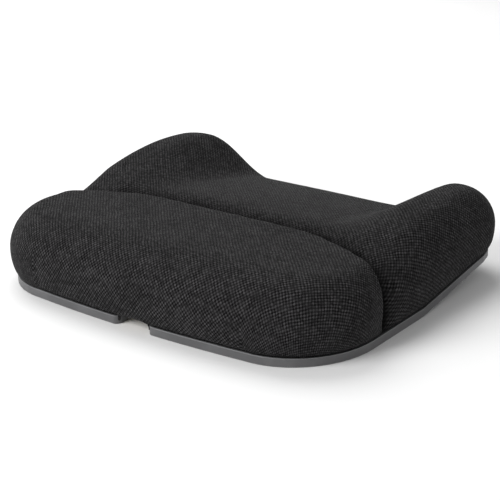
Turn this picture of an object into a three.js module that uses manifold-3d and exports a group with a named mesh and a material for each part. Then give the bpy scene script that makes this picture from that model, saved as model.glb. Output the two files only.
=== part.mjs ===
// The lower cushion of an operator's seat: a moulded pan, a foam core, a two-panel sewn cover,
// and the wires, rings and strips that hold the cover down on the foam and in the pan.
// Millimetres. +X is to the right of someone facing the cushion's front, +Y to the rear, +Z up.
import * as THREE from "three";
import { mergeVertices } from "three/addons/utils/BufferGeometryUtils.js";
import Module from "manifold-3d";

const wasm = await Module();
wasm.setup();

// ---- Driving dimensions
const RIM = { halfWidth: 230, depth: 396, frontBow: 17, rearBow: 5, frontCorner: 90, rearCorner: 46 };
const RISE = { height: 28, start: 12 }; // the pan's rear kicks up in a straight line from y = start
const LIP = { front: 9.2, rear: 7, thick: 2.6 };
const FLOOR = 3;
const CHANNEL = { inner: 8.2, rib: 2, below: 2 }; // the channel between lip and rib takes the hem
const NOTCH = { x: 0, halfWidth: 20, height: 12.8, corner: 8.5, fillet: 8, mouth: 17, wall: 2.6 };
const POCKET = { halfWidth: 28, height: 12.8, corner: 8.5, depth: 34 }; // behind the notch's mouth
const SKIN = { thick: 3, hemInset: 3, hemFoot: 3.8, bulgeFront: 7, bulgeRear: 5, tuck: 0.6, swell: 0.41 };
const ROLL = { front: 60, side: 36, rear: 43, power: 2.1 };
const SEAM = { centre: 171, side: 124, straight: 100, power: 1.6, reach: 190 }; // y from the rim's front
const ROWS = { wall: 3, roll: 5, top: 8, nearSeam: [10, 5.5, 2, 0] }; // nearSeam: distances from the seam
const TOP = { seam: 84, front: 86, rear: 50, frontPower: 1.5, rearPower: 1.5, sideFall: 5, fallPower: 2.5 };
const BOLSTER = { toeSeam: 106, toeRear: 104, crestSeam: 160, crestRear: 180, crestBow: 17, outFall: 7 };
const CREST = { height: 47, peak: 0.82, power: 1.15, ease: 0.3 }; // along the bolster, seam to rear
const GROOVE = { depth: 12, outerDepth: 15, ahead: 7.5, behind: 38, outerBehind: 46, power: 3.2 };
const TRENCH = { halfLength: 172, halfWidth: 4.4, foot: 44, head: 80 };
const LISTING = { thick: 1.2, head: 66, foot: 57, halfLength: 168 };
const WIRE = { cover: 1.25, coverZ: 55, foam: 1.5, foamZ: 49.5, halfLength: 164 };
const RING = { count: 7, pitch: 50, wire: 0.9, halfWidth: 2.7, top: 57.6, foot: 46.8, gap: 1.4 };
const STRIP = { outer: 5.8, inner: 7.8, foot: 3.4, below: 1.4 };
const MOUNT = { x: 120, front: -110, rear: 110, bossRadius: 11, bossHeight: 13 };
const INSERT = { radius: 6, bore: 4 };
const SPACER = { radius: 15, bore: 5 };
const VENT = { radius: 6, columns: [-150, -60, 60, 150], rows: [-60, 20, 150] };
const GAP = 0.3; // left between pieces that touch

const FRONT_Y = -RIM.depth / 2;
const REAR_Y = RIM.depth / 2;

// ---- Materials
const finish = (color, roughness, metalness = 0) =>
  new THREE.MeshStandardMaterial({ color, roughness, metalness });
const FABRIC = finish(0x2b2a2c, 0.95);
const PLASTIC = finish(0x3a3a3c, 0.55);
const FOAM = finish(0xd8cfae, 0.9);
const FELT = finish(0xbdbdb8, 0.95);
const STEEL = finish(0x9a9da1, 0.35, 0.9);
const STRIP_PLASTIC = finish(0xe2e2dc, 0.45);
const BRASS = finish(0xb08d4c, 0.35, 0.9);

// ---- Shape of the cushion
const clamp = THREE.MathUtils.clamp;
const smooth = (t) => THREE.MathUtils.smoothstep(t, 0, 1);

// Heights that run level to RISE.start and then in a straight line to the rear.
const kinked = (front, rear) => (y) =>
  front + ((rear - front) * Math.max(y - RISE.start, 0)) / (REAR_Y - RISE.start);
const aboveBase = (height) => kinked(height, RISE.height + height);
const belowLip = (drop) => kinked(LIP.front - drop, RISE.height + LIP.rear - drop);
const baseAt = aboveBase(0);
const lipAt = belowLip(0);

// The seam runs straight across the middle and comes forward towards the sides.
function seamY(x) {
  const t = clamp((Math.abs(x) - SEAM.straight) / (RIM.halfWidth - SEAM.straight), 0, 1.2);
  return FRONT_Y + SEAM.centre - (SEAM.centre - SEAM.side) * t ** SEAM.power;
}

// Height of the sitting surface, before its edges roll over and without the seam's groove.
function topZ(x, y) {
  const ax = Math.abs(x);
  const ys = seamY(x);
  const sideFall = TOP.sideFall * (ax / RIM.halfWidth) ** TOP.fallPower;
  if (y < ys) {
    const t = clamp((ys - y) / (ys - FRONT_Y), 0, 1.2);
    return TOP.seam + (TOP.front - TOP.seam) * t ** TOP.frontPower - sideFall;
  }
  const t = clamp((y - ys) / (REAR_Y - ys), 0, 1);
  const toe = THREE.MathUtils.lerp(BOLSTER.toeSeam, BOLSTER.toeRear, t);
  const bow = BOLSTER.crestBow * Math.sin(Math.PI * t);
  const ridge = THREE.MathUtils.lerp(BOLSTER.crestSeam, BOLSTER.crestRear, t) + bow;
  const along = Math.sin((clamp(t / CREST.peak, 0, 1) * Math.PI) / 2) ** CREST.power;
  const eased = THREE.MathUtils.lerp(1, smooth(t / CREST.ease), smooth((ax - BOLSTER.crestSeam) / 40));
  const outward = clamp((ax - ridge) / 60, 0, 1);
  const climb = smooth((ax - toe) / (ridge - toe));
  const crest = CREST.height * along * eased * climb;
  const base = THREE.MathUtils.lerp(TOP.seam, TOP.rear, THREE.MathUtils.lerp(t ** TOP.rearPower, t, climb));
  return base + crest - BOLSTER.outFall * outward ** 2 - sideFall * (1 - t);
}

// Steps along the outline from its middle, in front and behind, to the seam's foot on the side.
const STEPS = { frontStraight: 7, frontArc: 13, rearStraight: 8, rearArc: 5, kickUp: 3, side: 2 };
const NEAR_FOOT = { ahead: [8, 3.5, 0], behind: [12, 8, 5, 2.5, 0] };
const COLUMNS = STEPS.frontStraight + STEPS.frontArc + NEAR_FOOT.ahead.length;

// Outer edge of the rim in plan with its outward normals, anticlockwise from the front's middle.
function makeOutline() {
  const { halfWidth: w, frontBow, rearBow, frontCorner: rf, rearCorner: rr } = RIM;
  const front = (x) => FRONT_Y + frontBow * (x / w) ** 2;
  const rear = (x) => REAR_Y - rearBow * (x / w) ** 2;
  const foot = seamY(w);
  const [sideStart, sideEnd] = [front(w) + rf, rear(w) - rr];
  const ahead = [];
  const behind = [];
  const run = (list, count, at, from = 1) => {
    for (let i = from; i <= count; i++) list.push(new THREE.Vector2(...at(i / count)));
  };
  const arc = (r, y0, y1) => (t) => {
    const a = (t * Math.PI) / 2;
    return [w - r + r * Math.sin(a), y1 + (y0 - y1) * Math.cos(a)];
  };
  const down = (y0, y1) => (t) => [w, THREE.MathUtils.lerp(y0, y1, t)];
  run(ahead, STEPS.frontStraight, (t) => [(w - rf) * t, front((w - rf) * t)], 0);
  run(ahead, STEPS.frontArc, arc(rf, front(w - rf), sideStart));
  run(behind, STEPS.rearStraight, (t) => [(w - rr) * t, rear((w - rr) * t)], 0);
  run(behind, STEPS.rearArc, arc(rr, rear(w - rr), sideEnd));
  run(behind, STEPS.kickUp, down(sideEnd, RISE.start));
  run(behind, STEPS.side, down(RISE.start, foot + 30));
  for (const off of NEAR_FOOT.ahead) ahead.push(new THREE.Vector2(w, foot - off));
  for (const off of NEAR_FOOT.behind) behind.push(new THREE.Vector2(w, foot + off));
  const half = [...ahead, ...behind.slice(0, -1).reverse()];
  const mirrored = half.slice(1, -1).reverse().map((p) => new THREE.Vector2(-p.x, p.y));
  const points = [...half, ...mirrored];
  return points.map((p, i) => {
    const before = p.clone().sub(points.at(i - 1)).normalize();
    const after = points[(i + 1) % points.length].clone().sub(p).normalize();
    const along = before.add(after).normalize();
    return { x: p.x, y: p.y, nx: along.y, ny: -along.x };
  });
}
const OUTLINE = makeOutline();

// A place on the outline moved inwards by inset, at the height given for its y.
function placeAt({ x, y, nx, ny }, inset, heightAt) {
  const py = y - ny * inset;
  return new THREE.Vector3(x - nx * inset, py, heightAt(py));
}
const ringAt = (inset, heightAt) => OUTLINE.map((place) => placeAt(place, inset, heightAt));

// Radius of the rolled edge where the outline faces (nx, ny).
function rollRadius(nx, ny) {
  const front = Math.max(-ny, 0) ** 2;
  const rear = Math.max(ny, 0) ** 2;
  const side = nx ** 2;
  return (ROLL.front * front + ROLL.side * side + ROLL.rear * rear) / (front + side + rear);
}

// Height where the wall ends and the rolled edge starts, under a sitting surface at top.
function wallTop(y, top) {
  return THREE.MathUtils.lerp(lipAt(y), top, SKIN.swell);
}

// How far the seam pulls the skin in, at a point in plan.
function pull(x, y) {
  const slope = (seamY(Math.abs(x) + 1) - seamY(Math.abs(x) - 1)) / 2;
  const distance = Math.abs(y - seamY(x)) / Math.hypot(1, slope);
  const outer = smooth((Math.abs(x) - SEAM.straight) / 90);
  const depth = THREE.MathUtils.lerp(GROOVE.depth, GROOVE.outerDepth, outer);
  if (y < seamY(x)) return depth * Math.max(0, 1 - distance / GROOVE.ahead) ** 2;
  const reach = THREE.MathUtils.lerp(GROOVE.behind, GROOVE.outerBehind, outer);
  return depth * Math.max(0, 1 - distance / reach) ** GROOVE.power;
}

// Where a column of the skin ends on the seam.
const seamEnd = (index) => SEAM.reach * (1 - (1 - index / COLUMNS) ** 1.8);

// One column of the skin: from the lip up the wall, over the rolled edge and across to the seam.
// index counts from the outline's middle, in front or behind, and the skin is moved inwards by offset.
function skinColumn({ x, y, nx, ny }, index, offset) {
  const toSeam = y - seamY(x);
  const shear = Math.max(0, 1 - Math.abs(toSeam) / 60) ** 2;
  const bulge = THREE.MathUtils.lerp(SKIN.bulgeFront, SKIN.bulgeRear, smooth(toSeam / 40 + 1));
  const column = [];
  const moved = (out) => {
    const px = x + nx * out;
    return [px, y + ny * out + shear * (seamY(px) - seamY(x))];
  };
  const at = (out, z, tilt, share) => {
    const plan = moved(out);
    const inward = share * pull(...plan);
    const height = z(...plan) - inward * Math.sin(tilt);
    column.push(new THREE.Vector3(...moved(out - inward * Math.cos(tilt)), height));
    return plan;
  };
  for (let i = 1; i <= ROWS.wall; i++) {
    const t = i / ROWS.wall;
    const out = THREE.MathUtils.lerp(-SKIN.hemInset, bulge, Math.sin((t ** SKIN.tuck * Math.PI) / 2));
    const z = (px, py) => THREE.MathUtils.lerp(lipAt(py) + GAP, wallTop(py, topZ(px, py)), t);
    at(out - offset, z, 0, t);
  }
  let shoulder;
  for (let i = 1; i <= ROWS.roll; i++) {
    const a = (i / ROWS.roll) * (Math.PI / 2);
    const inward = 1 - Math.cos(a) ** (2 / ROLL.power);
    const upward = Math.sin(a) ** (2 / ROLL.power);
    const z = (px, py) => {
      const top = topZ(px, py);
      return THREE.MathUtils.lerp(wallTop(py, top), top - offset, upward);
    };
    shoulder = at(bulge - offset - (rollRadius(nx, ny) - offset) * inward, z, a, 1);
  }
  const endX = Math.sign(x) * seamEnd(index);
  const fromSeam = shoulder[1] - seamY(shoulder[0]);
  const far = Math.max(Math.abs(fromSeam), 1e-6);
  const near = ROWS.nearSeam.map((distance) => Math.min(distance, (distance / 20) * far));
  const spread = (i) => THREE.MathUtils.lerp(near[0], far, (1 - i / (ROWS.top + 1)) ** 1.5);
  const distances = Array.from({ length: ROWS.top }, (_, i) => spread(i + 1)).concat(near);
  for (const distance of distances) {
    const px = THREE.MathUtils.lerp(endX, shoulder[0], distance / far);
    const py = seamY(px) + Math.sign(fromSeam) * distance;
    column.push(new THREE.Vector3(px, py, topZ(px, py) - offset - pull(px, py)));
  }
  return column;
}

// ---- Solids
// A closed solid through rings of equal length, closed by a fan at each end. An apex is a fan's middle.
function loft(rings, firstApex, lastApex) {
  const size = rings[0].length;
  const middle = (ring) =>
    ring.reduce((sum, p) => sum.add(p), new THREE.Vector3()).divideScalar(ring.length);
  const points = rings.flat().concat(firstApex ?? middle(rings[0]), lastApex ?? middle(rings.at(-1)));
  const first = points.length - 2;
  const last = points.length - 1;
  const top = (rings.length - 1) * size;
  const index = [];
  for (let i = 0; i < size; i++) {
    const j = (i + 1) % size;
    for (let r = 0; r < rings.length - 1; r++) {
      const a = r * size;
      const b = a + size;
      index.push(a + i, a + j, b + j, a + i, b + j, b + i);
    }
    index.push(first, j, i, last, top + i, top + j);
  }
  const geometry = new THREE.BufferGeometry().setFromPoints(points);
  geometry.setIndex(index);
  return solid(geometry);
}

// A manifold solid of a closed three.js geometry, turned right side out.
function solid(geometry) {
  geometry.deleteAttribute("normal");
  geometry.deleteAttribute("uv");
  const merged = mergeVertices(geometry, 1e-3);
  const vertProperties = new Float32Array(merged.attributes.position.array);
  const triVerts = new Uint32Array(merged.index.array);
  const made = new wasm.Manifold(new wasm.Mesh({ numProp: 3, vertProperties, triVerts }));
  if (made.volume() > 0) return made;
  for (let i = 0; i < triVerts.length; i += 3) {
    [triVerts[i + 1], triVerts[i + 2]] = [triVerts[i + 2], triVerts[i + 1]];
  }
  return new wasm.Manifold(new wasm.Mesh({ numProp: 3, vertProperties, triVerts }));
}

function geometryOf(manifold) {
  const { numProp, vertProperties, triVerts } = manifold.getMesh();
  const position = new Float32Array((vertProperties.length / numProp) * 3);
  for (let i = 0; i < position.length / 3; i++) {
    position.set(vertProperties.subarray(i * numProp, i * numProp + 3), i * 3);
  }
  const geometry = new THREE.BufferGeometry();
  geometry.setAttribute("position", new THREE.BufferAttribute(position, 3));
  geometry.setIndex(new THREE.BufferAttribute(new Uint32Array(triVerts), 1));
  geometry.computeVertexNormals();
  return geometry;
}

// A box between two corners.
function block(x0, y0, z0, x1, y1, z1) {
  const geometry = new THREE.BoxGeometry(x1 - x0, y1 - y0, z1 - z0);
  return solid(geometry.translate((x0 + x1) / 2, (y0 + y1) / 2, (z0 + z1) / 2));
}

// Everything higher than heightAt gives, over the whole width.
function over(heightAt) {
  const reach = RIM.halfWidth * 1.5;
  const at = (y) => new THREE.Vector2(y, heightAt(y));
  const top = [new THREE.Vector2(reach, 200), new THREE.Vector2(-reach, 200)];
  const shape = new THREE.Shape([at(-reach), at(RISE.start), at(reach), ...top]);
  const geometry = new THREE.ExtrudeGeometry(shape, { depth: 2 * reach, bevelEnabled: false });
  return solid(geometry.rotateX(Math.PI / 2).rotateZ(Math.PI / 2).translate(-reach, 0, 0));
}

// The outline's inside, inset from its edge, between two heights.
function slab(inset, lowAt, highAt) {
  const shape = new THREE.Shape(ringAt(inset, baseAt).map((p) => new THREE.Vector2(p.x, p.y)));
  const prism = new THREE.ExtrudeGeometry(shape, { depth: 150, bevelEnabled: false });
  return solid(prism.translate(0, 0, -50)).intersect(over(lowAt)).subtract(over(highAt));
}

// An upright cylinder standing on z0.
function post(radius, x, y, z0, z1, sides = 20) {
  const geometry = new THREE.CylinderGeometry(radius, radius, z1 - z0, sides);
  return solid(geometry.rotateX(Math.PI / 2).translate(x, y, (z0 + z1) / 2));
}

// A round wire along a curve.
function wire(curve, radius, steps, sides = 6) {
  const section = new THREE.Shape(new THREE.EllipseCurve(0, 0, radius, radius).getPoints(sides).slice(0, -1));
  return solid(new THREE.ExtrudeGeometry(section, { steps, extrudePath: curve }));
}

// The space on one side of the seam, from the front (-1) or the rear (1), kept clear of it by half.
function seamSide(side, half) {
  const right = [];
  for (let i = 1; i <= COLUMNS; i++) right.push(seamEnd(i));
  for (let x = SEAM.reach + 5; x < RIM.halfWidth * 1.2; x += 5) right.push(x);
  const left = right.map((x) => -x).reverse();
  const edge = [...left, 0, ...right].map((x) => new THREE.Vector2(x, seamY(x) + side * half));
  const corner = (x) => new THREE.Vector2(x, side * RIM.depth);
  const shape = new THREE.Shape([corner(left[0]), ...edge, corner(right.at(-1))]);
  const geometry = new THREE.ExtrudeGeometry(shape, { depth: 200, bevelEnabled: false });
  return solid(geometry.translate(0, 0, -50));
}

// The cushion as a solid: its skin moved inwards by offset, with straight sides below the lip.
function body(offset, hemInset, hemHead) {
  const last = OUTLINE.length;
  const columns = OUTLINE.map((place, i) => {
    const index = Math.min(i, last - i, Math.abs(last / 2 - i));
    const hem = [placeAt(place, hemInset, () => -20), placeAt(place, hemInset, hemHead)];
    return [...hem, ...skinColumn(place, index, offset)];
  });
  const points = columns.flat().concat(new THREE.Vector3(0, 0, -20));
  const size = columns[0].length;
  const quads = [];
  for (let i = 0; i < last; i++) {
    const j = (i + 1) % last;
    for (let r = 0; r < size - 1; r++) {
      const [a, b] = [i * size + r, j * size + r];
      quads.push(a, b, b + 1, a, b + 1, a + 1);
    }
    quads.push(points.length - 1, j * size, i * size);
  }
  const geometry = new THREE.BufferGeometry().setFromPoints(points);
  geometry.setIndex(quads);
  return solid(geometry);
}

// ---- Seat pan
// Floor, lip, and the rib that makes the hem channel.
function panShell() {
  const { inner, rib, below } = CHANNEL;
  const tray = slab(0, baseAt, lipAt).subtract(slab(LIP.thick, aboveBase(FLOOR), belowLip(-1)));
  const wall = slab(inner, aboveBase(FLOOR / 2), belowLip(below));
  return tray.add(wall.subtract(slab(inner + rib, aboveBase(FLOOR / 2 - 1), lipAt)));
}

// An arched tunnel from the front face inwards, between two depths, around the lever notch.
function tunnel({ halfWidth: w, height: h, corner: r }, grow, from, to) {
  const shape = new THREE.Shape();
  shape.moveTo(-w - grow, -10);
  shape.lineTo(w + grow, -10);
  shape.absarc(w - r, h - r, r + grow, 0, Math.PI / 2, false);
  shape.absarc(-w + r, h - r, r + grow, Math.PI / 2, Math.PI, false);
  const options = { depth: to - from, bevelEnabled: false, curveSegments: 4 };
  const geometry = new THREE.ExtrudeGeometry(shape, options);
  return solid(geometry.rotateX(Math.PI / 2).translate(NOTCH.x, FRONT_Y + to, 0));
}

// The notch's mouth in plan, flared by a fillet at each end of the lip, as an upright solid.
function mouth(grow) {
  const { halfWidth: w, fillet: r, mouth: depth } = NOTCH;
  const shape = new THREE.Shape();
  shape.moveTo(w + r, -20);
  shape.absarc(w + r, r, r - grow, -Math.PI / 2, -Math.PI, true);
  shape.lineTo(w + grow, depth);
  shape.lineTo(-w - grow, depth);
  shape.absarc(-w - r, r, r - grow, 0, -Math.PI / 2, true);
  shape.lineTo(-w - r, -20);
  const geometry = new THREE.ExtrudeGeometry(shape, { depth: 60, bevelEnabled: false, curveSegments: 5 });
  return solid(geometry.translate(NOTCH.x, FRONT_Y, -20));
}

// All that the notch takes out of the pieces above the pan's lip.
function notchRoom(grow) {
  const { mouth: front } = NOTCH;
  return tunnel(NOTCH, grow, -20, front + 1).add(tunnel(POCKET, grow, front - grow, POCKET.depth + grow));
}

const MOUNTS = [
  ["front_left", -MOUNT.x, MOUNT.front],
  ["front_right", MOUNT.x, MOUNT.front],
  ["rear_left", -MOUNT.x, MOUNT.rear],
  ["rear_right", MOUNT.x, MOUNT.rear],
].map(([name, x, y]) => ({ name, x, y, base: baseAt(y) }));

function seatPan() {
  const { mouth: front, wall } = NOTCH;
  const cheeks = mouth(wall).intersect(slab(0, baseAt, lipAt)).subtract(mouth(0));
  const hood = tunnel(POCKET, wall, front - wall, POCKET.depth + wall).intersect(over(baseAt));
  const room = tunnel(POCKET, 0, front, POCKET.depth).add(tunnel(NOTCH, 0, -20, front + 1));
  let pan = panShell().subtract(mouth(0)).add(cheeks).add(hood).subtract(room);
  for (const { x, y, base } of MOUNTS) {
    const boss = post(MOUNT.bossRadius, x, y, base - 5, base + MOUNT.bossHeight);
    pan = pan.add(boss.intersect(over(baseAt))).subtract(post(INSERT.radius + GAP, x, y, -5, 60));
  }
  for (const x of VENT.columns) {
    for (const y of VENT.rows) {
      pan = pan.subtract(post(VENT.radius, x, y, -5, 60, 10));
    }
  }
  return pan;
}

// ---- Foam core
function foamCore() {
  const low = CHANNEL.inner + CHANNEL.rib + GAP;
  const clear = SKIN.thick + 2 * GAP;
  let foam = body(clear, low, belowLip(1)).intersect(over(aboveBase(FLOOR + GAP)));
  foam = foam.subtract(trench(TRENCH.halfLength, TRENCH.halfWidth, TRENCH.foot, TRENCH.head));
  foam = foam.subtract(notchRoom(NOTCH.wall + GAP));
  foam = foam.subtract(mouth(NOTCH.wall + GAP).subtract(over(belowLip(-GAP))));
  for (const { x, y, base } of MOUNTS) {
    foam = foam.subtract(post(MOUNT.bossRadius + GAP, x, y, base - 5, base + MOUNT.bossHeight + GAP));
  }
  return foam;
}

// A narrow upright slab that follows the seam in plan.
function trench(halfLength, halfWidth, foot, head) {
  const steps = 24;
  const rings = [];
  for (let i = 0; i <= steps; i++) {
    const x = -halfLength + (2 * halfLength * i) / steps;
    const y = seamY(x);
    rings.push([
      new THREE.Vector3(x, y - halfWidth, foot),
      new THREE.Vector3(x, y + halfWidth, foot),
      new THREE.Vector3(x, y + halfWidth, head),
      new THREE.Vector3(x, y - halfWidth, head),
    ]);
  }
  return loft(rings);
}

// ---- Cover
// The whole skin, open below, with the seam's groove pressed into it.
function coverShell() {
  const outer = body(0, SKIN.hemInset, lipAt).intersect(over(aboveBase(SKIN.hemFoot)));
  return outer.subtract(body(SKIN.thick, STRIP.outer - GAP, lipAt));
}

// A cover panel: the skin on one side of the seam, trimmed around the lever notch.
function coverPanel(side) {
  const half = LISTING.thick / 2 + GAP;
  const behindLip = tunnel(POCKET, GAP, -20, POCKET.depth).subtract(over(belowLip(-GAP)));
  const arch = tunnel(NOTCH, 0, -20, POCKET.depth).add(behindLip);
  return SHELL.intersect(seamSide(side, half)).subtract(arch);
}

// ---- What holds the cover down
// The seam's curve in plan at a fixed height.
function seamCurve(halfLength, z) {
  const points = [];
  const steps = 16;
  for (let i = 0; i <= steps; i++) {
    const x = -halfLength + (2 * halfLength * i) / steps;
    points.push(new THREE.Vector3(x, seamY(x), z));
  }
  return new THREE.CatmullRomCurve3(points);
}

const RING_X = Array.from({ length: RING.count }, (_, i) => (i - (RING.count - 1) / 2) * RING.pitch);

function listingStrip() {
  let strip = trench(LISTING.halfLength, LISTING.thick / 2, LISTING.foot, LISTING.head);
  const slot = RING.wire + GAP;
  for (const x of RING_X) {
    const y = seamY(x);
    strip = strip.subtract(block(x - 3 * slot, y - 4, LISTING.foot - 1, x + 3 * slot, y + 4, RING.top + 2));
  }
  return strip;
}

// A hog ring: an open loop of wire around both seam wires, its ends below.
function hogRing(x) {
  const corner = RING.halfWidth;
  const points = [];
  const add = (u, z) => points.push(new THREE.Vector3(0, u, z));
  add(RING.gap / 2, RING.foot);
  for (let i = 0; i <= 3; i++) {
    const a = -Math.PI / 2 + (i / 3) * (Math.PI / 2);
    add(corner * Math.cos(a), RING.foot + corner * (1 + Math.sin(a)));
  }
  for (let i = 0; i <= 4; i++) {
    const a = (i / 4) * Math.PI;
    add(corner * Math.cos(a), RING.top - corner * (1 - Math.sin(a)));
  }
  for (let i = 0; i <= 3; i++) {
    const a = Math.PI + (i / 3) * (Math.PI / 2);
    add(corner * Math.cos(a), RING.foot + corner * (1 + Math.sin(a)));
  }
  add(-RING.gap / 2, RING.foot);
  const ring = wire(new THREE.CatmullRomCurve3(points, false, "centripetal"), RING.wire, 18, 6);
  const lean = Math.atan2(seamY(x + 1) - seamY(x - 1), 2);
  const mesh = new THREE.Mesh(geometryOf(ring), STEEL);
  mesh.position.set(x, seamY(x), 0);
  mesh.rotation.z = lean;
  return mesh;
}

// A retainer strip sewn to the hem: it stands in the channel between two places on the outline.
function hemStrip(from, to) {
  const count = OUTLINE.length;
  const foot = aboveBase(STRIP.foot);
  const head = belowLip(STRIP.below);
  const rings = [];
  for (let i = from; i <= to; i++) {
    const place = OUTLINE[i % count];
    rings.push([
      placeAt(place, STRIP.outer, foot),
      placeAt(place, STRIP.inner, foot),
      placeAt(place, STRIP.inner, head),
      placeAt(place, STRIP.outer, head),
    ]);
  }
  return loft(rings);
}

// A threaded insert moulded into a boss, behind the slope of the pan's underside.
function insert({ x, y, base }) {
  const foot = baseAt(y + INSERT.radius);
  const head = base + MOUNT.bossHeight;
  return post(INSERT.radius, x, y, foot, head, 14).subtract(post(INSERT.bore, x, y, -1, head + 1, 10));
}

// A spacer that carries the kicked-up rear of the pan on the same level as the front.
function spacer({ x, y, base }) {
  const body = post(SPACER.radius, x, y, 0, base + 10, 20).subtract(over(aboveBase(-GAP)));
  return body.subtract(post(SPACER.bore, x, y, -1, base + 20, 12));
}

// ---- Assembly
const group = new THREE.Group();
const place = (name, shape, material) => {
  const mesh = shape.isMesh ? shape : new THREE.Mesh(geometryOf(shape), material);
  mesh.name = name;
  group.add(mesh);
};

const SHELL = coverShell();
place("seat_pan", seatPan(), PLASTIC);
place("foam_core", foamCore(), FOAM);
place("cover_front_panel", coverPanel(-1), FABRIC);
place("cover_rear_panel", coverPanel(1), FABRIC);
place("seam_listing_strip", listingStrip(), FELT);
place("cover_seam_wire", wire(seamCurve(WIRE.halfLength, WIRE.coverZ), WIRE.cover, 16), STEEL);
place("foam_tie_wire", wire(seamCurve(WIRE.halfLength, WIRE.foamZ), WIRE.foam, 16), STEEL);
RING_X.forEach((x, i) => place(`hog_ring_${i + 1}`, hogRing(x), STEEL));

// Places on the outline, counted from the front's middle to the right.
const HEM_STRIPS = {
  hem_strip_front_right: [3, 21],
  hem_strip_right: [24, 32],
  hem_strip_rear: [35, 57],
  hem_strip_left: [60, 68],
  hem_strip_front_left: [71, 89],
};
for (const [name, [from, to]] of Object.entries(HEM_STRIPS)) {
  place(name, hemStrip(from, to), STRIP_PLASTIC);
}
for (const mount of MOUNTS) {
  place(`threaded_insert_${mount.name}`, insert(mount), BRASS);
  if (mount.y > 0) place(`spacer_${mount.name}`, spacer(mount), PLASTIC);
}

export default group;
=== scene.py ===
import math

import bpy
import numpy as np
from mathutils import Matrix, Vector, noise


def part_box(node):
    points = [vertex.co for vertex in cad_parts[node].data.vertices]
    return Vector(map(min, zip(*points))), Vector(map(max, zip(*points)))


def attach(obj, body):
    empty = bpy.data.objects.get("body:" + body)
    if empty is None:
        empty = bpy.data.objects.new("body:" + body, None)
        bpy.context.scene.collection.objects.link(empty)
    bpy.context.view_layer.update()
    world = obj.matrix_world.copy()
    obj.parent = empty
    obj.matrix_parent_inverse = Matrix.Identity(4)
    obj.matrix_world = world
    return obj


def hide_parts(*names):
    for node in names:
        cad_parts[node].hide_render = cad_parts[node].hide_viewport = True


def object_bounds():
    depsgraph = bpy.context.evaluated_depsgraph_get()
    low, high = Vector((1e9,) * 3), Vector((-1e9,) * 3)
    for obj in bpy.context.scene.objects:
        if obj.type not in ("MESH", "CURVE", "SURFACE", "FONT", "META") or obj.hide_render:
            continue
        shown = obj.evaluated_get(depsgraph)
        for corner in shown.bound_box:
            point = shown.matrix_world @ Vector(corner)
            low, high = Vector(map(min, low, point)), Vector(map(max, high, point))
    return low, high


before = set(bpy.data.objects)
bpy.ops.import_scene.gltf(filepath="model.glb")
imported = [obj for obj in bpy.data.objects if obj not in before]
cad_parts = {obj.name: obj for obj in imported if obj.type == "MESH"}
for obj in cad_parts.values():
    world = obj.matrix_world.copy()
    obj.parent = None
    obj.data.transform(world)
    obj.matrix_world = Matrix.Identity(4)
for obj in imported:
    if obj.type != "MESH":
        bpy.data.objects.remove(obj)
cad_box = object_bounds()

# ---- Dimensions in millimetres; x and y in plan, z up, as in the frame
HALF_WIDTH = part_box("seat_pan")[1][0] * 1000  # half the width of the pan's rim
FRONT_Y, REAR_Y = -198.0, 198.0  # the rim's front and rear edges on the centre line
FRONT_BOW, REAR_BOW = 17.0, 5.0  # how far those edges curve back towards the sides
FRONT_CORNER, REAR_CORNER = 90.0, 46.0  # the corners' radii in plan
RISE_START, RISE = 12.0, 28.0  # where the pan's underside starts to rise, and its height at the rear
LIP_FRONT, LIP_REAR = 9.2, 7.0  # height of the rim
THICK = 3.0  # of the cover
HEM_INSET, HEM_INNER, HEM_FOOT = 3.0, 5.5, 3.8  # the hem's outer face, inner face and foot in the pan
BULGE_FRONT, BULGE_REAR, BULGE_EASE = 7.0, 5.0, 40.0  # how far the wall swells past the rim
WALL_START = 0.3  # height above the rim at which the wall starts
TUCK, SWELL = 0.6, 0.41  # how soon the wall swells out, and its share of the cushion's height
ROLL_FRONT, ROLL_SIDE, ROLL_REAR = 60.0, 36.0, 43.0  # radii of the edge rolled over from wall to top
ROLL_POWER = 2.1  # 2 is a round roll, more is squarer

# The seam, a straight line with curved ends
SEAM_CENTRE, SEAM_SIDE = 171.0, 124.0  # its distance from the front, in the middle and at the sides
SEAM_STRAIGHT, SEAM_POWER = 100.0, 1.6  # half the straight part, and how the ends curve
SEAM_REACH = 190.0  # how far out the top's rows end at it
SEAM_GAP = 0.02  # half the gap between the two panels
SEAM_EASE = 0.06  # share of the rear panel's depth over which its outer edge comes level with the front's
SHEAR_REACH = 60.0  # distance from the seam within which the wall leans to follow it

# The sitting surface
TOP_SEAM, TOP_FRONT, TOP_REAR = 84.0, 86.0, 50.0
FRONT_POWER, REAR_POWER = 1.5, 1.5
SIDE_FALL, FALL_POWER = 5.0, 2.5  # how far it drops towards the sides, and how late

# The bolsters: the foot of their inner slope and their ridge, at the seam and at the rear
TOE_SEAM, TOE_REAR = 106.0, 104.0
CREST_SEAM, CREST_REAR, CREST_BOW = 160.0, 180.0, 17.0
CREST_HEIGHT, CREST_POWER = 47.0, 1.15  # above the seat between them, and how late they rise
CREST_PEAK, CREST_EASE = 0.82, 0.3  # shares of the panel's depth: the highest point, the outside's rise
CREST_OUTSIDE = 40.0  # width over which that rise of the outside sets in
OUT_FALL, OUT_WIDTH = 7.0, 60.0  # from the ridge to the wall

# The groove along the seam, in the middle and towards the sides
GROOVE_DEPTH, GROOVE_OUTER_DEPTH = 12.0, 15.0
GROOVE_AHEAD, GROOVE_BEHIND, GROOVE_OUTER_BEHIND = 7.5, 38.0, 46.0
GROOVE_EASE, GROOVE_POWER = 90.0, 3.2  # from the middle's shape to the sides', and the rear slope's curve

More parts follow.
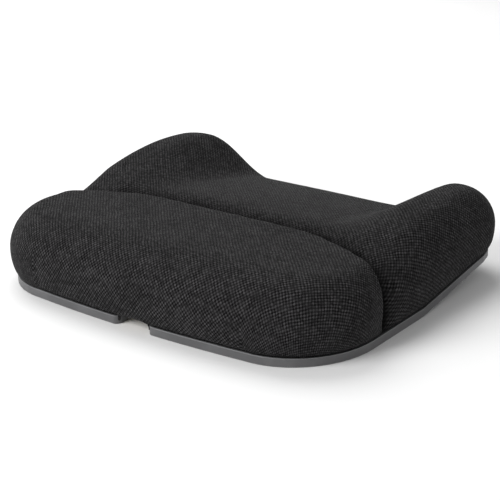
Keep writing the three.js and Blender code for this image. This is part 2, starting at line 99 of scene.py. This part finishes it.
# The covers' grid: columns run up the wall and across the top to the seam
FINENESS = 5  # steps for each of the CAD's
COLUMNS = 23  # the CAD's columns in half a panel
STEPS_FRONT, STEPS_REAR = (7, 13), (8, 5)  # along the straight of an edge, and round its corner
SIDE_AHEAD, SIDE_BEHIND = (8, 3.5), (30, 12, 8, 5, 2.5)  # distances from the seam on the side walls
ROWS_WALL, ROWS_ROLL, ROWS_TOP = 9, 16, 16
NEAR_SEAM = np.array([10, 8, 6.4, 5, 3.8, 2.8, 1.9, 1.2, SEAM_GAP])[:, None]  # the last rows' distances
NEAR_REACH = 20.0  # where the top is narrower than this, those rows draw closer together
FAN_POWER, SPREAD_POWER = 1.8, 1.5  # how the columns fan out along the seam, and the rows across the top


# ---- The cushion's shape
def lerp(a, b, t):
    return a + (b - a) * t


def smooth(t):
    t = np.clip(t, 0, 1)
    return t * t * (3 - 2 * t)


def kinked(y, front, rear):
    return front + (rear - front) * np.maximum(y - RISE_START, 0) / (REAR_Y - RISE_START)


def base_at(y):
    return kinked(y, 0, RISE)


def lip_at(y):
    return kinked(y, LIP_FRONT, RISE + LIP_REAR)


def seam_y(x):
    t = np.clip((np.abs(x) - SEAM_STRAIGHT) / (HALF_WIDTH - SEAM_STRAIGHT), 0, 1.2)
    return FRONT_Y + SEAM_CENTRE - (SEAM_CENTRE - SEAM_SIDE) * t**SEAM_POWER


def top_z(x, y):
    """Height of the sitting surface, before its edges roll over and without the seam's groove."""
    ax, ys = np.abs(x), seam_y(x)
    side_fall = SIDE_FALL * (ax / HALF_WIDTH) ** FALL_POWER
    ahead = np.clip((ys - y) / (ys - FRONT_Y), 0, 1.2)
    front = TOP_SEAM + (TOP_FRONT - TOP_SEAM) * ahead**FRONT_POWER - side_fall
    t = np.clip((y - ys) / (REAR_Y - ys), 0, 1)
    toe = lerp(TOE_SEAM, TOE_REAR, t)
    ridge = lerp(CREST_SEAM, CREST_REAR, t) + CREST_BOW * np.sin(np.pi * t)
    along = np.sin(np.clip(t / CREST_PEAK, 0, 1) * np.pi / 2) ** CREST_POWER
    eased = lerp(1, smooth(t / CREST_EASE), smooth((ax - CREST_SEAM) / CREST_OUTSIDE))
    outward = np.clip((ax - ridge) / OUT_WIDTH, 0, 1)
    climb = smooth((ax - toe) / (ridge - toe))
    crest = CREST_HEIGHT * along * eased * climb
    rear = lerp(TOP_SEAM, TOP_REAR, lerp(t**REAR_POWER, t, climb)) + crest
    rear = rear - OUT_FALL * outward**2 * smooth(t / SEAM_EASE) - side_fall * (1 - t)
    return np.where(y < ys, front, rear)


def pull(x, y, ahead):
    """How far the seam pulls the skin in, on the panel ahead of it or behind it."""
    ax = np.abs(x)
    slope = (seam_y(ax + 1) - seam_y(ax - 1)) / 2
    distance = np.abs(y - seam_y(x)) / np.hypot(1, slope)
    outer = smooth((ax - SEAM_STRAIGHT) / GROOVE_EASE)
    depth = lerp(GROOVE_DEPTH, GROOVE_OUTER_DEPTH, outer)
    if ahead:
        return depth * np.maximum(0, 1 - distance / GROOVE_AHEAD) ** 2
    reach = lerp(GROOVE_BEHIND, GROOVE_OUTER_BEHIND, outer)
    return depth * np.maximum(0, 1 - distance / reach) ** GROOVE_POWER


def roll_radius(nx, ny):
    front, rear, side = np.maximum(-ny, 0) ** 2, np.maximum(ny, 0) ** 2, nx**2
    return (ROLL_FRONT * front + ROLL_SIDE * side + ROLL_REAR * rear) / (front + side + rear)


def refined(values, parts):
    """The values with each step between them cut into parts."""
    spots = np.arange((len(values) - 1) * parts + 1) / parts
    return np.interp(spots, np.arange(len(values)), values)


def half_outline(ahead, parts):
    """Right half of the rim's edge in plan, from its middle to the seam's foot, and each point's index."""
    w, foot = HALF_WIDTH, seam_y(HALF_WIDTH)
    if ahead:
        middle, bow, radius, (straight, arc) = FRONT_Y, FRONT_BOW, FRONT_CORNER, STEPS_FRONT
    else:
        middle, bow, radius, (straight, arc) = REAR_Y, -REAR_BOW, REAR_CORNER, STEPS_REAR

    def edge(x):
        return middle + bow * (x / w) ** 2

    side_start = edge(w) + math.copysign(radius, bow)
    x = (w - radius) * np.arange(straight * parts + 1) / (straight * parts)
    a = np.arange(1, arc * parts + 1) / (arc * parts) * np.pi / 2
    arc_y = side_start + (edge(w - radius) - side_start) * np.cos(a)
    if ahead:
        down = [side_start, *(foot - step for step in SIDE_AHEAD), foot - SEAM_GAP]
    else:
        down = [*np.linspace(side_start, RISE_START, 4), (RISE_START + foot + SIDE_BEHIND[0]) / 2]
        down += [*(foot + step for step in SIDE_BEHIND), foot + SEAM_GAP]
    down = refined(down, parts)[1:]
    xs = np.concatenate([x, w - radius + radius * np.sin(a), np.full(len(down), w)])
    ys = np.concatenate([edge(x), arc_y, down])
    return xs, ys, np.arange(len(xs)) / parts


def outline(ahead, parts):
    """A panel's part of the outline, anticlockwise, with its outward normals and each point's index."""
    xs, ys, index = half_outline(ahead, parts)
    x = np.concatenate([-xs[:0:-1], xs])
    y = np.concatenate([ys[:0:-1], ys])
    index = np.concatenate([index[:0:-1], index])
    if not ahead:
        x, y, index = x[::-1], y[::-1], index[::-1]
    along = np.stack([np.gradient(x), np.gradient(y)])
    along /= np.linalg.norm(along, axis=0)
    return x, y, along[1], -along[0], index


def skin(place, ahead, offset, hem_inset):
    """Rows of points from the hem up the wall, over the rolled edge and across to the seam."""
    x, y, nx, ny, index = place
    shear = np.maximum(0, 1 - np.abs(y - seam_y(x)) / SHEAR_REACH) ** 2
    bulge = lerp(BULGE_FRONT, BULGE_REAR, smooth((y - seam_y(x)) / BULGE_EASE + 1))
    rows = []

    def moved(out):
        px = x + nx * out
        return px, y + ny * out + shear * (seam_y(px) - seam_y(x))

    def at(out, height, tilt, share):
        px, py = moved(out)
        inward = share * pull(px, py, ahead)
        z = height(px, py) - inward * math.sin(tilt)
        rows.append(np.stack([*moved(out - inward * math.cos(tilt)), z]))
        return px, py

    def wall_top(px, py):
        return lerp(lip_at(py), top_z(px, py), SWELL)

    hx, hy = x - nx * hem_inset, y - ny * hem_inset
    hem_foot, hem_top = base_at(hy) + HEM_FOOT, lip_at(hy)
    for z in (hem_foot, (hem_foot + hem_top) / 2, hem_top):
        rows.append(np.stack([hx, hy, z]))
    for i in range(1, ROWS_WALL + 1):
        t = i / ROWS_WALL
        out = lerp(-HEM_INSET, bulge, math.sin(t**TUCK * math.pi / 2)) - offset
        at(out, lambda px, py: lerp(lip_at(py) + WALL_START, wall_top(px, py), t), 0, t)
    for i in range(1, ROWS_ROLL + 1):
        a = i / ROWS_ROLL * math.pi / 2
        inward = 1 - max(math.cos(a), 0) ** (2 / ROLL_POWER)
        upward = math.sin(a) ** (2 / ROLL_POWER)
        out = bulge - offset - (roll_radius(nx, ny) - offset) * inward
        sx, sy = at(out, lambda px, py: lerp(wall_top(px, py), top_z(px, py) - offset, upward), a, 1)
    end_x = np.sign(x) * SEAM_REACH * (1 - (1 - np.minimum(index / COLUMNS, 1)) ** FAN_POWER)
    far = np.maximum(np.abs(sy - seam_y(sx)), 1e-3)  # distance of the rolled edge's top from the seam
    near = np.minimum(NEAR_SEAM, NEAR_SEAM / NEAR_REACH * far)
    spread = [lerp(near[0], far, (1 - i / ROWS_TOP) ** SPREAD_POWER) for i in range(1, ROWS_TOP)]
    side = -1 if ahead else 1
    for distance in [*spread, *near]:
        px = lerp(end_x, sx, distance / far)
        py = seam_y(px) + side * np.maximum(distance, SEAM_GAP)
        rows.append(np.stack([px, py, top_z(px, py) - offset - pull(px, py, ahead)]))
    return np.stack(rows).transpose(0, 2, 1)  # row, column, xyz


def weave_map(rows, place):
    """Where each point lies on the cloth before it was pulled over the foam, in millimetres."""
    normal = np.stack(place[2:4], axis=1)
    last = 2 + ROWS_WALL + ROWS_ROLL  # the row along the rolled edge's top
    flat = rows[:, :, :2].copy()
    steps = np.linalg.norm(np.diff(rows[: last + 1], axis=0), axis=2)
    arc = np.concatenate([np.cumsum(steps[::-1], axis=0)[::-1], np.zeros((1, rows.shape[1]))])
    flat[: last + 1] = rows[last, :, :2] + normal * arc[:, :, None]
    return flat


def new_object(name, mesh, material=None):
    piece = bpy.data.objects.new(name, mesh)
    bpy.context.scene.collection.objects.link(piece)
    if material:
        mesh.materials.append(material)
    return piece


def quads_of(ids):
    """The faces between a grid of vertex numbers."""
    corners = [ids[:-1, :-1], ids[:-1, 1:], ids[1:, 1:], ids[1:, :-1]]
    return np.stack(corners, axis=-1).reshape(-1, 4)


def mesh_of(name, points, faces):
    """A mesh from points in millimetres."""
    mesh = bpy.data.meshes.new(name)
    mesh.from_pydata((np.asarray(points) / 1000).tolist(), [], faces)
    return mesh


def normals_of(rows):
    along, up = np.gradient(rows, axis=1), np.gradient(rows, axis=0)
    normals = np.cross(along, up)
    return normals / np.maximum(np.linalg.norm(normals, axis=2, keepdims=True), 1e-9)


CLOTH_FRAMES = 20
CLOTH_CAP, CLOTH_SINK = 0.6, 0.3  # how far the simulation may move a point out and in, in millimetres
HELD_HEM, HELD_SEAM, HELD_ENDS = 4, 6, 3  # rows and columns that the simulation holds
SINK = 0.25  # how far the finished surface may lie inside the plain one, in millimetres


def inflate(name, rows):
    """How far each point moves out when the sheet, held all round, is blown up a little as cloth."""
    count, width = rows.shape[:2]
    ids = np.arange(count * width).reshape(count, width)
    sheet = new_object(name, mesh_of(name, rows.reshape(-1, 3), quads_of(ids).tolist()))
    pinned = np.zeros((count, width), bool)
    pinned[:HELD_HEM] = pinned[-HELD_SEAM:] = True
    pinned[:, :HELD_ENDS] = pinned[:, -HELD_ENDS:] = True
    group = sheet.vertex_groups.new(name="held")
    group.add(np.flatnonzero(pinned).tolist(), 1.0, "REPLACE")
    cloth = sheet.modifiers.new("cloth", "CLOTH")
    settings = cloth.settings
    settings.vertex_group_mass = "held"
    settings.use_pressure = True
    settings.uniform_pressure_force = 4
    settings.shrink_min = -0.012
    settings.quality = 4
    settings.mass = 0.3
    settings.bending_stiffness = 0.6
    settings.effector_weights.gravity = 0
    cloth.point_cache.frame_end = CLOTH_FRAMES
    scene = bpy.context.scene
    for step in range(1, CLOTH_FRAMES + 1):
        scene.frame_set(step)
    evaluated = sheet.evaluated_get(bpy.context.evaluated_depsgraph_get())
    co = np.zeros(count * width * 3, np.float32)
    evaluated.to_mesh().vertices.foreach_get("co", co)
    evaluated.to_mesh_clear()
    scene.frame_set(1)
    bpy.data.objects.remove(sheet)
    delta = co.reshape(count, width, 3) * 1000 - rows
    outward = CLOTH_CAP * np.tanh((delta * normals_of(rows)).sum(axis=2) / CLOTH_CAP)
    outward = np.maximum(outward, -CLOTH_SINK) * ~pinned
    for axis in (0, 1, 0, 1):
        outward = (np.roll(outward, 1, axis) + 2 * outward + np.roll(outward, -1, axis)) / 4
    return outward * ~pinned


BROAD, FINE, PUCKER, HEM_PULL = 0.9, 0.25, 0.7, 0.9  # heights of the cloth's waves, in millimetres
PUCKER_AT, PUCKER_WIDTH, HEM_PULL_HEIGHT = 7.0, 9.0, 26.0


def relief(rows, weave, ahead):
    """Small unevenness of the stretched cloth: broad waves, puckers at the seam and pulls at the hem."""
    amount = np.zeros(rows.shape[:2])
    count, width = amount.shape
    for r in range(3, count - 2):
        for c in range(1, width - 1):
            x, y, z = rows[r, c]
            seam_distance = abs(y - float(seam_y(x)))
            u, v = weave[r, c] / 1000
            broad = noise.noise(Vector((u * 11, v * 11, 3.1 if ahead else 8.7)))
            fine = noise.noise(Vector((u * 34, v * 20, 5.3)))
            wall = max(0.0, 1 - (z - float(lip_at(y))) / HEM_PULL_HEIGHT)
            pucker = noise.noise(Vector((x / 15, seam_distance / 60, 1.7)))
            near = math.exp(-(((seam_distance - PUCKER_AT) / PUCKER_WIDTH) ** 2))
            hem = noise.noise(Vector((u * 60, v * 60, z / 90)))
            amount[r, c] = BROAD * broad + FINE * fine + PUCKER * pucker * near + HEM_PULL * hem * wall
    row = np.arange(count)[:, None]
    return amount * np.minimum(1, row[::-1] / 6) * np.minimum(1, row / 8)


NOTCH_HALF, NOTCH_HEIGHT, NOTCH_CORNER, NOTCH_DEPTH = 20.0, 12.8, 8.5, 34.0
NOTCH_PLAY = 0.4  # between the pan's notch and the cover's
NOTCH_MARGIN = 20.0  # how far the cutter reaches below and ahead of the cover


def notch_cutter():
    """A solid with an arched section, along the notch."""
    half, height, corner = (size + NOTCH_PLAY for size in (NOTCH_HALF, NOTCH_HEIGHT, NOTCH_CORNER))
    turns = np.linspace(0, np.pi / 2, 9)
    right = [(half - corner + corner * math.cos(a), height - corner + corner * math.sin(a)) for a in turns]
    right.insert(0, (half, -NOTCH_MARGIN))
    ring = [*right, *[(-x, z) for x, z in reversed(right)]]
    count = len(ring)
    points = [(x, y, z) for y in (FRONT_Y - NOTCH_MARGIN, FRONT_Y + NOTCH_DEPTH) for x, z in ring]
    faces = [(i, count + i, count + (i + 1) % count, (i + 1) % count) for i in range(count)]
    faces += [tuple(range(count)), tuple(range(2 * count - 1, count - 1, -1))]
    return mesh_of("notch", points, faces)


def cut(piece, cutter_mesh):
    """Takes the cutter out of the piece and removes the cutter."""
    cutter = new_object("cutter", cutter_mesh)
    modifier = piece.modifiers.new("cut", "BOOLEAN")
    modifier.operation, modifier.object, modifier.solver = "DIFFERENCE", cutter, "EXACT"
    evaluated = piece.evaluated_get(bpy.context.evaluated_depsgraph_get())
    made = bpy.data.meshes.new_from_object(evaluated)
    piece.modifiers.clear()
    piece.data = made
    bpy.data.objects.remove(cutter)


def painted_fold_shade(rows, ahead):
    """Painted shade for the cloth's colour, from 0 to 1: how much of the light the folds at the seam and
    over the rim keep from the cloth.
    """
    x, y, z = rows.transpose(2, 0, 1)
    seam = np.abs(y - seam_y(x))
    if ahead:
        shade = np.exp(-((seam / 3.5) ** 2))
    else:
        shade = 0.62 * np.exp(-((seam / 10) ** 2)) + 0.34 * np.exp(-seam / 22)
    rim = np.exp(-((np.maximum(z - lip_at(y), 0) / 3.2) ** 2))
    return np.maximum(shade, rim).ravel()


def panel(name, node, ahead, material):
    """One panel of the cover: a closed shell with its hem turned down into the pan's channel."""
    place = outline(ahead, FINENESS)
    outer = skin(place, ahead, 0, HEM_INSET)
    inner = skin(place, ahead, THICK, HEM_INNER)
    weave = weave_map(outer, place)
    moved = relief(outer, weave, ahead)
    moved = moved + inflate(name + "_sheet", outer)
    moved = np.maximum(moved, -SINK)[:, :, None] * normals_of(outer)
    outer, inner = outer + moved, inner + moved
    count, width = outer.shape[:2]
    ids = np.arange(count * width).reshape(count, width)
    sheet = quads_of(ids)
    around = np.concatenate([ids[0, :], ids[1:, -1], ids[-1, -2::-1], ids[-2:0:-1, 0]])
    after = np.roll(around, -1)
    border = np.stack([after, around, around + ids.size, after + ids.size], axis=-1)
    faces = np.concatenate([sheet, sheet[:, [0, 3, 2, 1]] + ids.size, border])
    mesh = mesh_of(name, np.concatenate([outer.reshape(-1, 3), inner.reshape(-1, 3)]), faces.tolist())
    corners = np.zeros(len(mesh.loops), np.int32)
    mesh.loops.foreach_get("vertex_index", corners)
    both = np.tile(weave.reshape(-1, 2), (2, 1))
    mesh.uv_layers.new(name="weave").data.foreach_set("uv", both[corners].ravel().astype(np.float32))
    # Painted shade near the seam and just above the rim, kept with the mesh for the cloth's colour
    shade = mesh.attributes.new("painted_fold_shade", "FLOAT", "POINT")
    shade.data.foreach_set("value", np.tile(painted_fold_shade(outer, ahead), 2))
    mesh.shade_smooth()
    piece = new_object(name, mesh, material)
    if ahead:
        cut(piece, notch_cutter())
    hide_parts(node)
    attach(piece, "root")


# ---- Materials
class Nodes:
    """A material's node tree, built from short expressions."""

    def __init__(self, name):
        self.material = bpy.data.materials.new(name)
        self.material.use_nodes = True
        self.tree = self.material.node_tree
        self.shader = self.tree.nodes["Principled BSDF"]

    def add(self, kind, inputs=(), **settings):
        node = self.tree.nodes.new("ShaderNode" + kind)
        for key, value in settings.items():
            setattr(node, key, value)
        for key, value in dict(inputs).items():
            self.put(node.inputs[key], value)
        return node

    def put(self, socket, value):
        if isinstance(value, bpy.types.NodeSocket):
            self.tree.links.new(value, socket)
        else:
            socket.default_value = value

    def math(self, operation, a, b=0.0, c=0.0):
        return self.add("Math", {0: a, 1: b, 2: c}, operation=operation).outputs[0]

    def ramp(self, value, low, high, to_low=0.0, to_high=1.0):
        inputs = {"Value": value, "From Min": low, "From Max": high, "To Min": to_low, "To Max": to_high}
        return self.add("MapRange", inputs, interpolation_type="SMOOTHSTEP").outputs["Result"]

    def noise(self, vector, scale, detail=2.0, roughness=0.5):
        inputs = {"Vector": vector, "Scale": scale, "Detail": detail, "Roughness": roughness}
        return self.add("TexNoise", inputs).outputs["Fac"]

    def mix(self, factor, a, b):
        node = self.add("Mix", data_type="RGBA")
        self.put(node.inputs[0], factor)
        self.put(node.inputs[6], (*a, 1) if isinstance(a, tuple) else a)
        self.put(node.inputs[7], (*b, 1) if isinstance(b, tuple) else b)
        return node.outputs[2]

    def position(self):
        return self.add("TexCoord").outputs["Object"]

    def bump(self, height, distance, strength=1.0, normal=None):
        inputs = {"Height": height, "Distance": distance, "Strength": strength}
        if normal is not None:
            inputs["Normal"] = normal
        return self.add("Bump", inputs).outputs["Normal"]

    def set(self, **inputs):
        for key, value in inputs.items():
            value = (*value, 1) if isinstance(value, tuple) else value
            self.put(self.shader.inputs[key.replace("_", " ")], value)
        return self.material


WEAVE_ACROSS, WEAVE_ALONG = 2.16, 2.45  # half the repeat of the staggered weave, in millimetres


def fabric():
    n = Nodes("woven_cover")
    flat = n.add("UVMap", uv_map="weave").outputs["UV"]
    slow = {"Vector": flat, "Scale": 0.05, "Detail": 3.0, "Roughness": 0.6}
    drift = n.add("TexNoise", slow).outputs["Color"]
    shift = n.add("VectorMath", {0: drift, 1: (3.4, 3.4, 0)}, operation="MULTIPLY").outputs[0]
    shifted = n.add("VectorMath", {0: flat, 1: shift}, operation="ADD").outputs[0]
    split = n.add("SeparateXYZ", {0: shifted})
    u = n.math("DIVIDE", split.outputs[0], 2 * WEAVE_ACROSS)
    v = n.math("DIVIDE", split.outputs[1], 2 * WEAVE_ALONG)
    waves, cells = [], []
    for operation in ("ADD", "SUBTRACT"):
        phase = n.math(operation, u, v)
        cells.append(n.math("ROUND", phase))
        waves.append(n.math("COSINE", n.math("MULTIPLY", phase, 2 * math.pi)))
    cell = n.add("CombineXYZ", {0: cells[0], 1: cells[1]}).outputs[0]
    lot = n.add("TexWhiteNoise", {"Vector": cell}, noise_dimensions="3D").outputs["Value"]
    fuzz = n.noise(flat, 0.9, 4.0, 0.7)
    hair = n.noise(flat, 3.5, 2.0, 0.6)
    crest = n.math("MULTIPLY_ADD", fuzz, 2.2, n.math("ADD", *waves))
    wear_and_highlight = n.ramp(n.noise(flat, 0.11, 3.0, 0.6), 0.35, 0.65, 0.5, 1.1)
    floats = n.math("MULTIPLY_ADD", n.math("SUBTRACT", n.ramp(crest, 0.0, 2.8), 0.42), wear_and_highlight, 0.42)
    height = n.math("MULTIPLY_ADD", hair, 0.4, n.math("MULTIPLY_ADD", lot, 0.25, floats))
    thread = n.mix(floats, (0.0045, 0.0044, 0.0046), (0.047, 0.0458, 0.047))
    patch = n.noise(n.position(), 26.0, 4.0, 0.6)
    spread = n.math("MULTIPLY_ADD", lot, 0.75, n.ramp(fuzz, 0.25, 0.75, 0.3, 0.95))
    spread = n.math("MULTIPLY", spread, n.ramp(patch, 0.3, 0.7, 0.88, 1.12))
    # Painted shade: the cloth's colour is darkened by up to 92 % near the seam and just above the rim
    painted_shade = n.add("Attribute", attribute_name="painted_fold_shade").outputs["Fac"]
    spread = n.math("MULTIPLY", spread, n.math("MULTIPLY_ADD", painted_shade, -0.92, 1.0))
    colour = n.add("VectorMath", {0: thread, "Scale": spread}, operation="SCALE").outputs[0]
    return n.set(
        Base_Color=colour,
        Roughness=n.ramp(fuzz, 0.3, 0.7, 0.86, 0.98),
        Normal=n.bump(height, 0.0005),
        Sheen_Weight=0.1,
        Sheen_Roughness=0.14,
        Specular_IOR_Level=0.04,
    )


def tinted(colour, factor, lift=0.0):
    return tuple(min(1, factor * c + lift) for c in colour)


def plastic(name, colour, rough, grain=0.00006, edge_highlight=0.5):
    """Moulded plastic with a fine grain, and a painted highlight that lightens it along its rounded edges.
    """
    n = Nodes(name)
    here = n.position()
    rounded = n.add("Bevel", {"Radius": 0.0015}, samples=6).outputs["Normal"]
    facing = n.add("NewGeometry").outputs["Normal"]
    edge = n.add("VectorMath", {0: rounded, 1: facing}, operation="DOT_PRODUCT")
    # Painted highlight: where the bevelled normal turns away from the face, the colour is mixed towards a
    # much lighter one
    wear_and_highlight = n.ramp(edge.outputs["Value"], 0.995, 0.93, 0.0, edge_highlight)
    cloud = n.noise(here, 18.0, 5.0, 0.6)
    fine = n.noise(here, 1400.0, 2.0, 0.6)
    base = n.mix(n.ramp(cloud, 0.35, 0.7), tinted(colour, 0.82), tinted(colour, 1.12))
    base = n.mix(wear_and_highlight, base, tinted(colour, 2.6, 0.05))
    return n.set(
        Base_Color=base,
        Roughness=n.ramp(cloud, 0.3, 0.75, rough - 0.06, rough + 0.08),
        Normal=n.bump(fine, grain, 0.8, rounded),
        Specular_IOR_Level=0.45,
    )


def foam():
    n = Nodes("moulded_foam")
    here = n.position()
    cells = n.add("TexVoronoi", {"Vector": here, "Scale": 620.0}).outputs["Distance"]
    cloud = n.noise(here, 22.0, 4.0, 0.6)
    colour = n.mix(n.ramp(cloud, 0.3, 0.75), (0.7, 0.61, 0.4), (0.8, 0.73, 0.54))
    colour = n.mix(n.ramp(cells, 0.45, 0.8, 0.0, 0.5), colour, (0.5, 0.41, 0.24))
    rough = n.ramp(cloud, 0.3, 0.7, 0.85, 0.98)
    return n.set(Base_Color=colour, Roughness=rough, Normal=n.bump(cells, 0.0004))


def felt():
    n = Nodes("pressed_felt")
    here = n.position()
    hair = n.noise(here, 900.0, 5.0, 0.75)
    cloud = n.noise(here, 60.0, 3.0)
    colour = n.mix(n.ramp(hair, 0.3, 0.7), (0.4, 0.4, 0.37), (0.62, 0.62, 0.58))
    rough = n.ramp(cloud, 0.3, 0.7, 0.9, 1.0)
    return n.set(Base_Color=colour, Roughness=rough, Normal=n.bump(hair, 0.0005), Sheen_Weight=0.3)


def metal(name, colour, rough, stretch):
    """Drawn or turned metal, its fine lines running along the stretched axis."""
    n = Nodes(name)
    here = n.add("VectorMath", {0: n.position(), 1: stretch}, operation="MULTIPLY").outputs[0]
    lines = n.noise(here, 600.0, 3.0, 0.6)
    dull = n.noise(n.position(), 90.0, 4.0)
    base = n.mix(n.ramp(dull, 0.35, 0.7), tinted(colour, 0.72), colour)
    return n.set(
        Base_Color=base,
        Metallic=1.0,
        Roughness=n.ramp(lines, 0.3, 0.7, rough - 0.07, rough + 0.12),
        Normal=n.bump(lines, 0.00008),
    )


SHARP_ANGLE = math.radians(25)


def dress(material, *nodes):
    """Gives CAD nodes that stay as they are their finished material, and shades their curves smooth."""
    for name in nodes:
        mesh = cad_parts[name].data
        mesh.materials.clear()
        mesh.materials.append(material)
        mesh.shade_smooth()
        mesh.set_sharp_from_angle(angle=SHARP_ANGLE)


def named(start, end=""):
    return [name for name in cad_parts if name.startswith(start) and name.endswith(end)]


# ---- The object
cover = fabric()
panel("cover_front", "cover_front_panel", True, cover)
panel("cover_rear", "cover_rear_panel", False, cover)
pan_plastic = plastic("pan_plastic", (0.1, 0.1, 0.103), 0.45)
dress(pan_plastic, "seat_pan", "spacer_rear_left", "spacer_rear_right")
dress(foam(), "foam_core")
dress(felt(), "seam_listing_strip")
dress(plastic("strip_plastic", (0.7, 0.7, 0.66), 0.42, 0.00002, 0.1), *named("hem_strip"))
dress(metal("drawn_steel", (0.5, 0.51, 0.53), 0.36, (0.1, 1, 1)), *named("hog_ring"), *named("", "_wire"))
dress(metal("turned_brass", (0.58, 0.4, 0.15), 0.34, (1, 1, 6)), *named("threaded_insert"))

# ---- Stage, light and camera
FLOOR_GAP, FLOOR_HALF = 0.4, 30000.0  # millimetres below the lowest point, and half the floor's width
LIGHT_DISTANCE = 2.8  # metres


def floor():
    n = Nodes("pale_floor")
    cloud = n.noise(n.position(), 3.0, 3.0)
    colour = n.mix(n.ramp(cloud, 0.3, 0.7), (0.9, 0.9, 0.9), (0.93, 0.93, 0.93))
    material = n.set(Base_Color=colour, Roughness=0.9, Specular_IOR_Level=0.1)
    z, far = cad_box[0][2] * 1000 - FLOOR_GAP, FLOOR_HALF
    corners = [(-far, -far, z), (far, -far, z), (far, far, z), (-far, far, z)]
    new_object("floor", mesh_of("floor", corners, [(0, 1, 2, 3)]), material)


def placed(thing, azimuth, elevation, distance, target=(0, 0, 0), roll=0.0):
    """Puts a lamp or camera round the target, facing it. Azimuth 0 is in front, 90 at the right."""
    az, el = math.radians(azimuth), math.radians(elevation)
    direction = Vector((math.sin(az) * math.cos(el), -math.cos(az) * math.cos(el), math.sin(el)))
    thing.location = Vector(target) + direction * distance
    turn = direction.to_track_quat("Z", "Y").to_matrix().to_4x4()
    thing.rotation_euler = (turn @ Matrix.Rotation(math.radians(roll), 4, "Z")).to_euler()
    bpy.context.scene.collection.objects.link(thing)


def area_light(name, azimuth, elevation, size, power):
    light = bpy.data.lights.new(name, "AREA")
    light.shape, light.size, light.energy = "DISK", size, power
    placed(bpy.data.objects.new(name, light), azimuth, elevation, LIGHT_DISTANCE)


def camera(azimuth, elevation, roll, distance, lens, target):
    data = bpy.data.cameras.new("camera")
    data.lens, data.sensor_width = lens, 36
    eye = bpy.data.objects.new("camera", data)
    placed(eye, azimuth, elevation, distance, target, roll)
    bpy.context.scene.camera = eye


floor()
camera(36.352, 20.397, -0.16, 1.542, 96.81, (0.0073, 0.0008, 0.0304))
area_light("key", 240, 50, 2.6, 60)
area_light("fill", -20, 30, 1.8, 64)
area_light("edge", 100, 12, 1.6, 11)
scene = bpy.context.scene
scene.world = bpy.data.worlds.new("studio")
scene.world.use_nodes = True
backdrop = scene.world.node_tree.nodes["Background"].inputs
backdrop["Color"].default_value = (1, 1, 1, 1)
backdrop["Strength"].default_value = 0.36
scene.view_settings.view_transform = "Standard"

bpy.context.view_layer.update()
